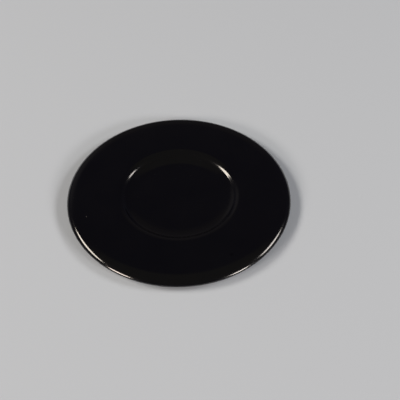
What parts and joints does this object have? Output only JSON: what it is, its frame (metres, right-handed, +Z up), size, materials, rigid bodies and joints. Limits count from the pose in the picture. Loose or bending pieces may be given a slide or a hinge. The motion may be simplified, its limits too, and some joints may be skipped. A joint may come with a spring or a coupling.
{
  "type": "gas burner cap",
  "caption": "Round black enamelled steel cap that covers a gas burner head, pressed from one sheet, with a shallow dish in the middle of its flat top and a turned-down rim.",
  "frame": {"origin": "centre of the dish's underside, on the surface that the cap stands on", "axes": "+Z up along the cap's axis, towards its dished top"},
  "size_m": [0.09, 0.09, 0.0044],
  "materials": {
    "black_enamel": "gloss black vitreous enamel"
  },
  "bodies": {
    "root": {"burner_cap": "black_enamel"}
  },
  "joints": []
}
